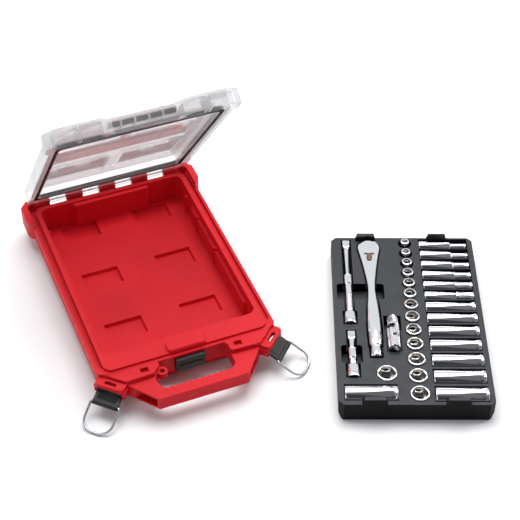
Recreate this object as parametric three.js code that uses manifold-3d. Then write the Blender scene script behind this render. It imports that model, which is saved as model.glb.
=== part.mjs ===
// Socket wrench set in a low carrying case: a moulded case with a clear hinged lid and two
// draw latches, and a tray of 28 sockets, a ratchet, two extensions and a universal joint.
// The tray lies beside the open case. Units are millimetres and +Z is up.
import * as THREE from 'three';
import { mergeVertices } from 'three/addons/utils/BufferGeometryUtils.js';
import Module from 'manifold-3d';

const wasm = await Module();
wasm.setup();

// ---- driving dimensions ----
const GAP = 0.3; // clearance between pieces that touch

// Case. Its own frame is centred on the handle-to-hinge length, with y = 0 halfway.
const RIM_HALF = 115; // half the width over the rim wall
const RIM_FRONT = -137;
const RIM_BACK = 188;
const RIM_Z = 43;
const RIM_SKIRT_Z = 22; // lower edge of the outer wall
const TUB_HALF = 103;
const TUB_INNER_HALF = 99.5;
const TUB_FRONT = -132;
const TUB_INNER_FRONT = -110;
const TUB_INNER_BACK = 176;
const FLOOR_UNDER_Z = 4; // underside of the floor, between the feet
const FLOOR_Z = 7.4;
const SEAL_HALF = 105.4;
const SEAL_FRONT = -136.5;
const SEAL_BACK = 182;
const SEAL_Z = 46;
const LID_TOP_Z = 64;
const LID_PANEL_Z = 62;
const LID_HALF = 112.5;
const LUG_HALF = 118; // half the width over the lid's front corners
const LUG_FRONT = -157;
const LID_BACK = 187;
const LID_OPEN = 50.5; // degrees that the lid stands open
const HINGE_Y = 193;
const HINGE_Z = 45.4;
const HINGE_RADIUS = 4.2;
const HINGE_PIN_RADIUS = 1.3;
const KNUCKLE_PITCH = 46.4;
const KNUCKLE_WIDTH = 23;

// Handle.
const HANDLE_FRONT = -194;
const HANDLE_HALF = 57;
const HANDLE_Z = 37;
const HANDLE_UNDER_Z = 19;
const GRIP_BACK = -141;
const GRIP_FRONT = -180;

// Draw latches, each across a 45 degree corner.
const LATCH_X = 104.5;
const LATCH_Y = -151.5;
const LATCH_Z = 27;
const LATCH_DROOP = 28.5; // degrees that lever and bail hang below level
const LEVER_WIDTH = 33;
const LEVER_LENGTH = 21;
const BAIL_PIVOT = 17; // from the lever's hinge to the bail's
const BAIL_LENGTH = 36;
const BAIL_HALF = 19;
const WIRE_RADIUS = 1.6;

// Tray, in a frame with its origin at the front left corner of its underside.
const TRAY_WIDTH = 187;
const TRAY_DEPTH = 293;
const TRAY_TOP = 27;
const TRAY_SKIN = 2.4;
const TRAY_CORNER = 6;
const TRAY_TURN = -22.18; // degrees, seen from above
const TRAY_X = 140.1;
const TRAY_Y = -273;

// Sockets.
const SMALLEST = 6;
const LARGEST = 19;
const DEEP_LENGTH = 63.5;
const SHALLOW_LENGTH = 27;
const DRIVE = 9.5; // side of the square drive
const DRIVE_END_DIAMETER = 16.6;
const DEEP_X = 116;
const DEEP_AXIS_Z = TRAY_TOP - 6.5;
const SHALLOW_X = 97.5;
const FIRST_ROW_Y = 281.7;
const ROW_PITCH = 19.1;

// Long tools, by their axis in the tray's frame.
const RATCHET_X = 49;
const RATCHET_HEAD_Y = 272;
const RATCHET_END_Y = 77;
const RATCHET_Z = TRAY_TOP - 2;
const RATCHET_HEAD_RADIUS = 14.7;
const LEVER_PIVOT_Y = -17; // from the head's centre
const COVER_SCREW_X = 8.6;
const COVER_SCREW_Y = -12;
const EXTENSION_X = 19.5;
const EXTENSION_Z = TRAY_TOP - 3;
const LONG_EXTENSION = 152.4;
const LONG_EXTENSION_Y = 134; // its socket end
const SHORT_EXTENSION = 76.2;
const SHORT_EXTENSION_Y = 44;
const UJOINT_X = 71.8;
const UJOINT_Y = 114;
const UJOINT_Z = TRAY_TOP + 3.5;
const UJOINT_RADIUS = 8;
const FORK_THROAT = 10.4;
const FORK_ARM_HALF = 3.6; // half the width of a fork's arm
const PIN_RADIUS = 1.4;
const PIN_BORE = 1.75;

const radians = THREE.MathUtils.degToRad;
const SIDES = [['left', -1], ['right', 1]];

// ---- materials ----
function material(color, roughness, metalness, opacity = 1) {
  return new THREE.MeshStandardMaterial({ color, roughness, metalness, opacity, transparent: opacity < 1 });
}
const RED = material(0xd2303a, 0.45, 0);
const CLEAR = material(0xe9eef0, 0.08, 0, 0.35);
const BLACK = material(0x1c1d1f, 0.55, 0);
const SEAL = material(0x141415, 0.75, 0);
const TRAY_GREY = material(0x3b3e41, 0.7, 0);
const CHROME = material(0xd8dadc, 0.12, 1);
const STEEL = material(0xb4b8bb, 0.3, 1);
const DARK_STEEL = material(0x4b4039, 0.4, 0.9);

// ---- solids ----
// A closed body from plain vertices and triangles, with its faces outward.
function closed(vertices, corners) {
  return new wasm.Manifold(new wasm.Mesh({ numProp: 3, vertProperties: vertices, triVerts: corners }));
}

function solid(shape) {
  if (!(shape instanceof THREE.BufferGeometry)) return shape;
  const bare = shape.clone();
  bare.deleteAttribute('normal');
  bare.deleteAttribute('uv');
  const merged = mergeVertices(bare, 1e-4);
  const vertices = merged.attributes.position.array;
  const corners = Uint32Array.from(merged.index.array);
  const result = closed(vertices, corners);
  return result.volume() > 0 ? result : closed(vertices, corners.slice().reverse());
}

function join(...shapes) {
  return shapes.map(solid).reduce((whole, piece) => whole.add(piece));
}

function cut(body, ...tools) {
  return tools.map(solid).reduce((whole, tool) => whole.subtract(tool), solid(body));
}

function named(name, shape, look) {
  const result = solid(shape).getMesh();
  const geometry = new THREE.BufferGeometry();
  geometry.setAttribute('position', new THREE.BufferAttribute(result.vertProperties, 3));
  geometry.setIndex(new THREE.BufferAttribute(result.triVerts, 1));
  geometry.computeVertexNormals();
  const mesh = new THREE.Mesh(geometry, look);
  mesh.name = name;
  return mesh;
}

// ---- shapes ----
function block(x0, x1, y0, y1, z0, z1) {
  return new THREE.BoxGeometry(x1 - x0, y1 - y0, z1 - z0)
    .translate((x0 + x1) / 2, (y0 + y1) / 2, (z0 + z1) / 2);
}

// A block whose lower face is smaller than its upper face by inset on every side.
function hopper(x0, x1, y0, y1, z0, z1, inset) {
  const shape = block(x0, x1, y0, y1, z0, z1);
  const place = shape.attributes.position;
  for (let i = 0; i < place.count; i += 1) {
    if (place.getZ(i) > (z0 + z1) / 2) continue;
    place.setX(i, THREE.MathUtils.clamp(place.getX(i), x0 + inset, x1 - inset));
    place.setY(i, THREE.MathUtils.clamp(place.getY(i), y0 + inset, y1 - inset));
  }
  return shape;
}

function polygon(points) {
  return new THREE.Shape(points.map(([x, y]) => new THREE.Vector2(x, y)));
}

function mirrored(points) {
  return [...points, ...points.map(([x, y]) => [-x, y]).reverse()];
}

function roundedRect(x0, x1, y0, y1, r) {
  const shape = new THREE.Shape();
  shape.absarc(x1 - r, y0 + r, r, -Math.PI / 2, 0);
  shape.absarc(x1 - r, y1 - r, r, 0, Math.PI / 2);
  shape.absarc(x0 + r, y1 - r, r, Math.PI / 2, Math.PI);
  shape.absarc(x0 + r, y0 + r, r, Math.PI, 1.5 * Math.PI);
  return shape;
}

function plate(shape, z0, z1, curveSegments = 3) {
  return new THREE.ExtrudeGeometry(shape, { depth: z1 - z0, bevelEnabled: false, curveSegments })
    .translate(0, 0, z0);
}

function frameRing(half, front, back, width, z0, z1, r) {
  return cut(
    plate(roundedRect(-half, half, front, back, r), z0, z1),
    plate(roundedRect(-half + width, half - width, front + width, back - width, r - width / 2), z0 - 1, z1 + 1),
  );
}

function disc(radius, x, y, z0, z1, segments = 16) {
  return new THREE.CylinderGeometry(radius, radius, z1 - z0, segments)
    .rotateX(Math.PI / 2).translate(x, y, (z0 + z1) / 2);
}

function rodX(radius, x0, x1, y = 0, z = 0, segments = 12) {
  return new THREE.CylinderGeometry(radius, radius, x1 - x0, segments)
    .rotateZ(Math.PI / 2).translate((x0 + x1) / 2, y, z);
}

// A turned solid along +Y: profile is a list of [distance along the axis, radius].
function turned(profile, segments = 16) {
  const outline = profile.map(([along, radius]) => new THREE.Vector2(radius, along));
  return new THREE.LatheGeometry(outline, segments);
}

// A regular bar along +Y with flats across the given width.
function barY(sides, acrossFlats, y0, y1, turn = 0) {
  const radius = acrossFlats / 2 / Math.cos(Math.PI / sides);
  return new THREE.CylinderGeometry(radius, radius, y1 - y0, sides)
    .rotateY(turn).translate(0, (y0 + y1) / 2, 0);
}

// ---- the case ----
// The X range of each of a row of evenly spaced hinge knuckles.
function knuckles(count, width) {
  return Array.from({ length: count }, (_, i) => {
    const x = (i - (count - 1) / 2) * KNUCKLE_PITCH;
    return [x - width / 2, x + width / 2];
  });
}

// Puts a shape drawn in a latch's frame (X along the hinge, Y outward) onto the case's corner.
function atLatch(shape, side) {
  return shape.rotateZ(radians(-135 * side)).translate(side * LATCH_X, LATCH_Y, 0);
}

function padPlaces() {
  const places = [];
  for (const y of [-40, 58.5, 157]) {
    for (const x of [-50.5, 50.5]) places.push([x, y]);
  }
  return places;
}

function gripOpening() {
  const shape = new THREE.Shape();
  const waves = 11;
  const start = -44;
  const end = 42;
  shape.moveTo(45, GRIP_BACK);
  shape.lineTo(-41, GRIP_BACK);
  shape.lineTo(-41, -150);
  shape.lineTo(-50, -158);
  shape.lineTo(-51, -166);
  shape.lineTo(start - 2, GRIP_FRONT + 1);
  for (let i = 0; i < waves; i += 1) {
    const x = start + ((end - start) * i) / waves;
    const step = (end - start) / waves;
    shape.lineTo(x, GRIP_FRONT + 0.9);
    shape.lineTo(x + step / 2, GRIP_FRONT - 0.6);
  }
  shape.lineTo(end, GRIP_FRONT + 0.9);
  shape.lineTo(48, -172);
  shape.lineTo(48, -146);
  return shape;
}

function baseCorner(side) {
  const ear = plate(roundedRect(-18.5, 18.5, -12, 5, 5), 33, 39);
  const lugs = [-1, 1].map((end) => {
    const inner = LEVER_WIDTH / 2 + GAP;
    return block(end > 0 ? inner : -inner - 3.4, end > 0 ? inner + 3.4 : -inner, -14, 3.6, LATCH_Z - 3.6, 34);
  });
  const slot = plate(roundedRect(-8, 8, -3.5, 1.5, 2.4), 30, 42);
  const bore = rodX(1.5, -24, 24, 0, LATCH_Z, 8);
  return {
    body: [ear, ...lugs].map((shape) => atLatch(shape, side)),
    holes: [slot, bore].map((shape) => atLatch(shape, side)),
  };
}

// The raised guards that wrap round the lid's two back corners.
function cornerGuard(side) {
  const outline = new THREE.Shape();
  outline.moveTo(side * 113, 146);
  outline.lineTo(side * 119, 152);
  outline.lineTo(side * 122, 160);
  outline.lineTo(side * 122, 186);
  outline.lineTo(side * 113, 196.5);
  outline.lineTo(side * 97, 196.5);
  outline.lineTo(side * 97, 187);
  outline.lineTo(side * 110, 187);
  return cut(
    plate(outline, RIM_SKIRT_Z, 49),
    plate(roundedRect(-LID_HALF - 0.8, LID_HALF + 0.8, 120, 190.6, 9), RIM_Z - 3, 60),
  );
}

function caseBase() {
  const lobes = polygon(mirrored([[108, -130], [108, -137], [96, -149], [86, -158], [51, -157], [36, -142]]));
  const wing = polygon(mirrored([[103, -130], [103, -138], [88, -155], [HANDLE_HALF, HANDLE_FRONT]]));
  const rim = plate(roundedRect(-RIM_HALF, RIM_HALF, RIM_FRONT, RIM_BACK, 8), RIM_SKIRT_Z, RIM_Z);
  const tub = plate(roundedRect(-TUB_HALF, TUB_HALF, TUB_FRONT, RIM_BACK - 6, 12), FLOOR_UNDER_Z, 40);
  const hollowUnderRim = cut(
    plate(roundedRect(-RIM_HALF + 2.7, RIM_HALF - 2.7, RIM_FRONT + 2.7, RIM_BACK - 2.7, 6), 0, 35),
    plate(roundedRect(-TUB_HALF, TUB_HALF, TUB_FRONT, RIM_BACK - 6, 12), -1, 36),
    block(-RIM_HALF, RIM_HALF, RIM_FRONT - 1, TUB_FRONT + 8, -1, 36),
  );
  const groove = cut(
    plate(roundedRect(-111.5, 111.5, -128, RIM_BACK + 9, 9), 38, 60),
    plate(roundedRect(-SEAL_HALF, SEAL_HALF, SEAL_FRONT, SEAL_BACK, 11), 37, 61),
  );
  const seal = plate(roundedRect(-SEAL_HALF, SEAL_HALF, SEAL_FRONT, SEAL_BACK, 11), 40, SEAL_Z, 5);
  const cavity = plate(roundedRect(-TUB_INNER_HALF, TUB_INNER_HALF, TUB_INNER_FRONT, TUB_INNER_BACK, 10),
    FLOOR_Z, 60, 5);
  const lockBlock = new THREE.ExtrudeGeometry(roundedRect(-23.5, 23.5, -135.5, -121, 4), {
    depth: 5.5, bevelThickness: 1.5, bevelSize: 1.5, bevelSegments: 1, curveSegments: 3,
  }).translate(0, 0, 43);
  const feet = padPlaces().map(([x, y]) => block(x - 27.5, x + 27.5, y - 18, y + 18, 0, FLOOR_Z - 1));
  const pads = padPlaces().map(([x, y]) => hopper(x - 25, x + 25, y - 15.5, y + 15.5, 2.6, FLOOR_Z + 0.8, 1.6));
  const gateMark = disc(3.6, 1.3, 42, FLOOR_Z - 0.5, FLOOR_Z + 1, 12);
  const corners = SIDES.map(([, side]) => baseCorner(side));
  const barrels = knuckles(5, KNUCKLE_PITCH - KNUCKLE_WIDTH - 1);
  const hinge = barrels.flatMap(([x0, x1]) => [
    rodX(HINGE_RADIUS, x0, x1, HINGE_Y, HINGE_Z, 12),
    block(x0, x1, RIM_BACK - 3, HINGE_Y + 3, 34, RIM_Z - 0.4),
    block(x0, x1, RIM_BACK - 0.5, HINGE_Y + 3, RIM_Z - 1, HINGE_Z),
  ]);
  const backStep = plate(polygon([[-56, 178], [-50, 170], [50, 170], [56, 178]]), FLOOR_Z - 1, SEAL_Z - 3);
  const sideSteps = SIDES.map(([, side]) => plate(polygon([
    [side * 101, -82], [side * 95.5, -76], [side * 95.5, 118], [side * 101, 124],
  ]), FLOOR_Z - 1, 33));
  const gussets = [[1, 142], [1, 96], [1, 30], [-1, 142]].map(([side, y]) => plate(polygon([
    [side * 101, y - 7], [side * 94, y], [side * 101, y + 2],
  ]), FLOOR_Z - 1, 36));
  const handleEnds = SIDES.map(([, side]) => block(
    Math.min(side * 54, side * 90), Math.max(side * 54, side * 90), HANDLE_FRONT + 2.6, -167,
    HANDLE_UNDER_Z + 2.6, HANDLE_Z - 2.6,
  ));
  const slots = [-60, 60].map((x) => block(x - 5, x + 5, -152, -144.5, 38, RIM_Z + 1));
  const lockBay = block(-19.4, 19.4, GRIP_BACK - 1, -117.8, 19.6, 39.4);
  const shell = cut(
    join(rim, tub, plate(wing, HANDLE_UNDER_Z, HANDLE_Z), plate(lobes, 34, RIM_Z)),
    hollowUnderRim, groove, ...handleEnds,
    plate(gripOpening(), 10, 45),
    block(-80, 80, HANDLE_FRONT + 2.6, GRIP_FRONT - 3, HANDLE_UNDER_Z + 2.6, HANDLE_Z - 2.6),
  );
  const eyelet = join(disc(6.6, -39, -152, 29, HANDLE_Z, 14), block(-47, -39, -152, -140, 29, HANDLE_Z));
  const raised = join(
    cut(join(shell, seal), cavity), lockBlock, ...feet, backStep, ...sideSteps, ...gussets, ...hinge,
    eyelet, cornerGuard(-1), cornerGuard(1), ...corners.flatMap((corner) => corner.body),
  );
  return cut(
    raised, ...pads, gateMark, ...slots, lockBay, disc(3.5, -39, -152, 20, 50, 10),
    ...corners.flatMap((corner) => corner.holes),
    rodX(HINGE_PIN_RADIUS + GAP, -RIM_HALF, RIM_HALF, HINGE_Y, HINGE_Z, 8),
  );
}

// Lid, drawn shut in the case's frame.
function lidOutline() {
  const shape = new THREE.Shape();
  shape.absarc(LID_HALF - 8, LID_BACK - 8, 8, 0, Math.PI / 2);
  shape.absarc(-LID_HALF + 8, LID_BACK - 8, 8, Math.PI / 2, Math.PI);
  const lug = [[-LID_HALF, -112], [-LUG_HALF, -120], [-LUG_HALF, -142], [-116.4, -145.4], [-106.2, -155.6],
    [-102.8, LUG_FRONT], [-52, LUG_FRONT], [-37, -142]];
  for (const [x, y] of mirrored(lug)) shape.lineTo(x, y);
  return shape;
}

function lidPads() {
  const pads = [[-92, 92, -12, 55]];
  for (const [y0, y1] of [[67, 152], [-97, -24]]) {
    pads.push([-92, -6, y0, y1], [6, 92, y0, y1]);
  }
  return pads;
}

function caseLid() {
  const skirtZ = RIM_Z + 0.4;
  const roof = plate(roundedRect(-98, 98, -109.6, 174.6, 9), 40, LID_PANEL_Z - 2.5);
  const overSeal = plate(roundedRect(-SEAL_HALF - 0.5, SEAL_HALF + 0.5, SEAL_FRONT - 1.6, SEAL_BACK + 0.6, 11), 40, 46.6);
  const sealGroove = frameRing(105.3, -116.7, 181.9, 6.1, 46, 52.8, 10);
  const lockPocket = block(-43, 43, -139.2, -118.6, 40, 52);
  const cells = [-2, -1, 0, 1, 2].map((i) => block(i * 17 - 7.6, i * 17 + 7.6, -139.2, -118.6, 50, LID_PANEL_Z - 2.5));
  const corners = SIDES.flatMap(([, side]) => [
    plate(polygon([[side * 48, -118.6], [side * 76, -118.6], [side * 76, -154], [side * 55, -154], [side * 48, -147]]),
      40, LID_PANEL_Z - 2.5),
    plate(polygon([[side * 79, -118.6], [side * 102, -118.6], [side * 109, -136], [side * 109, -144],
      [side * 100, -153.5], [side * 79, -154]]), 40, LID_PANEL_Z - 2.5),
  ]);
  const pads = lidPads();
  const raised = pads.map(([x0, x1, y0, y1]) => (
    hopper(x0, x1, y0, y1, -LID_TOP_Z, -LID_PANEL_Z + 0.5, 1.6).scale(1, 1, -1)
  ));
  const recesses = pads.map(([x0, x1, y0, y1]) => block(x0 + 3.4, x1 - 3.4, y0 + 3.4, y1 - 3.4, 58, LID_TOP_Z - 2.6));
  const arms = knuckles(4, KNUCKLE_WIDTH).flatMap(([x0, x1]) => [
    rodX(HINGE_RADIUS, x0, x1, HINGE_Y, HINGE_Z, 12),
    block(x0, x1, LID_BACK - 2, HINGE_Y, HINGE_Z - 1.5, HINGE_Z + HINGE_RADIUS),
  ]);
  const shell = cut(
    plate(lidOutline(), skirtZ, LID_PANEL_Z, 4), roof, overSeal, sealGroove, lockPocket, ...cells, ...corners,
  );
  return cut(
    join(shell, ...raised, ...arms), ...recesses,
    rodX(HINGE_PIN_RADIUS + GAP, -RIM_HALF, RIM_HALF, HINGE_Y, HINGE_Z, 8),
  );
}

function lidGroup() {
  const group = new THREE.Group();
  const gasket = frameRing(105, -116.4, 181.6, 5.5, SEAL_Z + GAP, 52.5, 10);
  for (const mesh of [named('case_lid', caseLid(), CLEAR), named('lid_gasket', gasket, SEAL)]) {
    mesh.position.set(0, -HINGE_Y, -HINGE_Z);
    group.add(mesh);
  }
  group.position.set(0, HINGE_Y, HINGE_Z);
  group.rotation.x = radians(-LID_OPEN);
  return group;
}

// ---- the latches ----
function lever() {
  const half = LEVER_WIDTH / 2;
  const web = block(-half, half, 0, LEVER_LENGTH - 2, -2, 2);
  const tip = rodX(2.6, -half, half, LEVER_LENGTH - 2.6, -0.4, 10);
  const barrel = rodX(3.4, -half, half, 0, 0, 12);
  const bailSeat = rodX(3.2, -half, half, BAIL_PIVOT, 0, 12);
  const ribs = [5.5, 8.5, 11.5].map((y) => block(-half + 4, half - 4, y - 0.8, y + 0.8, 1.5, 2.8));
  return cut(
    join(web, tip, barrel, bailSeat, ...ribs),
    rodX(1.5, -half - 1, half + 1, 0, 0, 8),
    rodX(WIRE_RADIUS + GAP, -half - 1, -8, BAIL_PIVOT, 0, 8),
    rodX(WIRE_RADIUS + GAP, 8, half + 1, BAIL_PIVOT, 0, 8),
  );
}

// The bail's wire runs in the plane z = 0, with its pivot along the X axis.
function bail() {
  const bend = 15;
  const path = new THREE.CurvePath();
  const point = (x, y) => new THREE.Vector3(x, y, 0);
  const corner = (from, through, to) => new THREE.QuadraticBezierCurve3(from, through, to);
  const line = (from, to) => new THREE.LineCurve3(from, to);
  const half = BAIL_HALF;
  const far = BAIL_LENGTH;
  path.add(line(point(-9, 0), point(-half + 3, 0)));
  path.add(corner(point(-half + 3, 0), point(-half, 0), point(-half, 3)));
  path.add(line(point(-half, 3), point(-half, far - bend)));
  path.add(corner(point(-half, far - bend), point(-half, far), point(-half + bend, far)));
  path.add(line(point(-half + bend, far), point(half - bend, far)));
  path.add(corner(point(half - bend, far), point(half, far), point(half, far - bend)));
  path.add(line(point(half, far - bend), point(half, 3)));
  path.add(corner(point(half, 3), point(half, 0), point(half - 3, 0)));
  path.add(line(point(half - 3, 0), point(9, 0)));
  const section = new THREE.Shape();
  section.absarc(0, 0, WIRE_RADIUS, 0, 2 * Math.PI);
  return new THREE.ExtrudeGeometry(section, { steps: 32, curveSegments: 4, extrudePath: path });
}

function latch(word, side) {
  const group = new THREE.Group();
  const arm = new THREE.Group();
  const loop = named(`latch_bail_${word}`, bail(), STEEL);
  loop.position.y = BAIL_PIVOT;
  arm.add(named(`latch_lever_${word}`, lever(), BLACK), loop);
  arm.rotation.x = radians(-LATCH_DROOP);
  group.add(arm, named(`latch_pin_${word}`, rodX(1.2, -20, 20, 0, 0, 8), STEEL));
  group.rotation.z = radians(-135 * side);
  group.position.set(side * LATCH_X, LATCH_Y, LATCH_Z);
  return group;
}

// ---- the stacking lock in the handle ----
function lockSlide() {
  return cut(
    join(block(-19, 19, -146, -129, 20, 39), block(-16, 16, -147.4, -144, 22, 30)),
    block(-15, 15, -132, -128, 23, 36),
  );
}

function lockSpring() {
  const turns = 4;
  const path = new THREE.CatmullRomCurve3(Array.from({ length: turns * 8 + 1 }, (_, i) => {
    const angle = (i / 8) * 2 * Math.PI;
    const along = i / (turns * 8);
    return new THREE.Vector3(3.4 * Math.cos(angle), -130.8 + 12 * along, 29.5 + 3.4 * Math.sin(angle));
  }));
  const section = new THREE.Shape();
  section.absarc(0, 0, 0.5, 0, 2 * Math.PI);
  return new THREE.ExtrudeGeometry(section, { steps: turns * 9, curveSegments: 2, extrudePath: path });
}

// ---- the tray and its tools ----
function outerDiameter(size) {
  return 1.05 * size + 4.9;
}

function rowY(row) {
  return FIRST_ROW_Y - ROW_PITCH * row - 0.72 * Math.max(0, row - 5) ** 2;
}

// Where each size lies: the largest has a place of its own on the left.
function deepPlace(size) {
  return size === LARGEST ? [7.5, 19.5] : [DEEP_X, rowY(size - SMALLEST)];
}

function shallowPlace(size) {
  return size === LARGEST ? [60, 50] : [SHALLOW_X, rowY(size - SMALLEST)];
}

function shallowTop(size) {
  return TRAY_TOP + 5 - 0.25 * (size - SMALLEST);
}

function sizes() {
  return Array.from({ length: LARGEST - SMALLEST + 1 }, (_, i) => SMALLEST + i);
}

function label(size) {
  return String(size).padStart(2, '0');
}

function socketHoles(size, length, hexDepth) {
  return [
    barY(6, size, length - hexDepth, length + 1, Math.PI / 6),
    barY(8, Math.min(size - 1.2, 9), 4, length - 1),
    barY(4, DRIVE, -1, 10.5, Math.PI / 4),
  ];
}

// A socket along +Y, with its drive square at y = 0 and its hexagon at the far end.
function shallowSocket(size) {
  const hexRadius = outerDiameter(size) / 2;
  const driveRadius = Math.max(DRIVE_END_DIAMETER / 2, hexRadius);
  const end = SHALLOW_LENGTH;
  const body = turned([
    [0, 0], [0, driveRadius - 0.8], [0.8, driveRadius], [end - 13, driveRadius], [end - 9, hexRadius],
    [end - 0.7, hexRadius], [end, hexRadius - 0.7], [end, 0],
  ]);
  return cut(body, ...socketHoles(size, end, Math.min(12, size)));
}

function deepSocket(size) {
  const hexRadius = outerDiameter(size) / 2;
  const driveRadius = Math.max(DRIVE_END_DIAMETER / 2, hexRadius);
  const end = DEEP_LENGTH;
  const shoulder = size <= 10 ? end - 23 : end - 8;
  const body = turned([
    [0, 0], [0, driveRadius - 0.8], [0.8, driveRadius], [shoulder - 2, driveRadius], [shoulder, hexRadius],
    [end - 0.7, hexRadius], [end, hexRadius - 0.7], [end, 0],
  ]);
  return cut(body, ...socketHoles(size, end, Math.min(14, size)));
}

// Tool solids lie along +Y with their square drive at the far end.
function squareDrive(y0, y1) {
  return cut(
    barY(4, DRIVE - 0.1, y0, y1, Math.PI / 4),
    disc(1.5, 0, y1 - 5, DRIVE / 2 - 2.2, DRIVE, 8),
  );
}

function driveBall(name, x, y, z) {
  const ball = named(name, new THREE.SphereGeometry(1.15, 8, 6), STEEL);
  ball.position.set(x, y, z);
  return ball;
}

function extension(length) {
  const band = length * 0.52;
  const shaft = turned([
    [0, 0], [0, 7.4], [0.7, 8.1], [19, 8.1], [22, 4.6], [band - 9, 4.6], [band - 8, 5.7],
    [band + 8, 5.7], [band + 9, 4.9], [length - 12, 4.9], [length - 11, 0],
  ]);
  return cut(join(shaft, squareDrive(length - 13, length)), barY(4, DRIVE, -1, 11, Math.PI / 4));
}

function ratchetOutline(grow) {
  const shape = new THREE.Shape();
  const r = RATCHET_HEAD_RADIUS + grow;
  shape.absarc(0, 0, r, radians(-12), radians(192));
  shape.quadraticCurveTo(-8.4 - grow, -34, -5.2 - grow, -70);
  shape.lineTo(5.2 + grow, -70);
  shape.quadraticCurveTo(8.4 + grow, -34, r * Math.cos(radians(-12)), r * Math.sin(radians(-12)));
  return shape;
}

// Ratchet body: the head's centre is at the origin and the handle runs along -Y.
function ratchetBody() {
  const end = RATCHET_END_Y - RATCHET_HEAD_Y;
  const head = new THREE.ExtrudeGeometry(ratchetOutline(-1.5), {
    depth: 9, bevelThickness: 1.5, bevelSize: 1.5, bevelSegments: 1, curveSegments: 6,
  }).translate(0, 0, -4.5);
  const handle = turned([
    [end, 0], [end, 6.2], [end + 1, 7], [end + 13, 7.4], [end + 14, 6.4], [end + 16, 6.4],
    [end + 18, 8], [end + 48, 9.2], [-108, 7.6], [-78, 5.3], [-66, 5.1], [-65, 0],
  ], 12);
  return cut(
    join(head, handle),
    disc(10.6, 0, 0, -7, 2.6, 24),
    disc(12.6, 0, 0, -7, -4.4, 24),
    disc(7.2, 0, -14.4, -4.6, 2.6, 14),
    disc(2.3, 0, LEVER_PIVOT_Y, 0, 8, 10),
    plate(polygon(mirrored([[6.5, -11.8], [8.5, -21], [6.5, -27.5]])), 4.4, 8),
    ...[-1, 1].map((side) => disc(0.95, side * COVER_SCREW_X, COVER_SCREW_Y, -7, -1.5, 8)),
    plate(polygon([[-12.2, -4], [12.2, -4], [11, -16], [5, -22], [-5, -22], [-11, -16]]), -7, -4.4),
  );
}

const GEAR_TEETH = 36;
function ratchetGear() {
  const outline = [];
  for (let i = 0; i < GEAR_TEETH * 2; i += 1) {
    const radius = i % 2 ? 8.8 : 8;
    const angle = (i * Math.PI) / GEAR_TEETH;
    outline.push([radius * Math.cos(angle), radius * Math.sin(angle)]);
  }
  const post = new THREE.CylinderGeometry(DRIVE / Math.SQRT2, DRIVE / Math.SQRT2, 13.6, 4)
    .rotateX(Math.PI / 2).rotateZ(Math.PI / 4).translate(0, 0, -10);
  return cut(
    join(plate(polygon(outline), -3.8, 2.2), disc(7.2, 0, 0, -6.6, -3, 20), post),
    new THREE.CylinderGeometry(1.5, 1.5, 4.6, 8).translate(0, -DRIVE / 2, -12),
  );
}

function ratchetPawl() {
  return plate(polygon([
    [-4.5, -10.6], [-2.3, -9.45], [0, -9.1], [2.3, -9.45], [4.5, -10.6], [3, -16], [2.6, -19], [-2.6, -19], [-3, -16],
  ]), -3.8, 2.2);
}

function directionLever() {
  const paddle = new THREE.ExtrudeGeometry(polygon([
    [-2.6, -14], [2.6, -14], [3.4, -19], [1.6, -25.6], [-1.6, -25.6], [-3.4, -19],
  ]), { depth: 1.2, bevelThickness: 0.5, bevelSize: 0.5, bevelSegments: 1 }).translate(0, 0, 5.3);
  return join(paddle, disc(1.9, 0, LEVER_PIVOT_Y, 2.5, 5.6, 10));
}

function ratchetCover() {
  const cover = join(disc(12.2, 0, 0, -6, -4.7, 24), plate(polygon([
    [-11.8, -4], [11.8, -4], [10.6, -15.8], [4.8, -21.6], [-4.8, -21.6], [-10.6, -15.8],
  ]), -6, -4.7));
  return cut(
    cover, disc(7.6, 0, 0, -8, 0, 20),
    ...[-1, 1].map((side) => disc(1.25, side * COVER_SCREW_X, COVER_SCREW_Y, -8, 0, 8)),
  );
}

function coverScrew() {
  return cut(
    join(disc(1.8, 0, 0, -7.1, -6.3, 10), disc(0.65, 0, 0, -6.4, -2, 8)),
    block(-2.4, 2.4, -0.3, 0.3, -7.4, -6.8),
  );
}

function ratchetGroup() {
  const group = new THREE.Group();
  group.add(
    named('ratchet_body', ratchetBody(), CHROME),
    named('ratchet_gear', ratchetGear(), CHROME),
    named('ratchet_pawl', ratchetPawl(), STEEL),
    named('direction_lever', directionLever(), DARK_STEEL),
    named('ratchet_cover', ratchetCover(), STEEL),
    driveBall('ratchet_ball', 0, -DRIVE / 2 + 0.7, -12),
  );
  for (const [word, side] of SIDES) {
    const screw = named(`cover_screw_${word}`, coverScrew(), DARK_STEEL);
    screw.position.set(side * COVER_SCREW_X, COVER_SCREW_Y, 0);
    group.add(screw);
  }
  group.position.set(RATCHET_X, RATCHET_HEAD_Y, RATCHET_Z);
  return group;
}

// Universal joint: two forks on a cross block. Its pin runs along X and its trunnions along Z.
function forkArms(profile) {
  const beyond = UJOINT_RADIUS + 1;
  const cheeks = [-1, 1].map((side) => block(
    Math.min(side * FORK_ARM_HALF, side * beyond), Math.max(side * FORK_ARM_HALF, side * beyond),
    -beyond, FORK_THROAT, -beyond, beyond,
  ));
  return cut(
    turned(profile, 16),
    block(-beyond, beyond, -beyond, FORK_THROAT, -5.4, 5.4),
    ...cheeks,
    rodX(PIN_BORE, -beyond, beyond, 0, 0, 8).rotateY(Math.PI / 2),
  );
}

function driveFork() {
  const arms = forkArms([
    [-6.6, 0], [-6.6, 5.5], [-4, UJOINT_RADIUS], [13, UJOINT_RADIUS], [16, 6.6], [16.6, 6], [16.6, 0],
  ]);
  return join(arms, squareDrive(15, 27));
}

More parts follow.
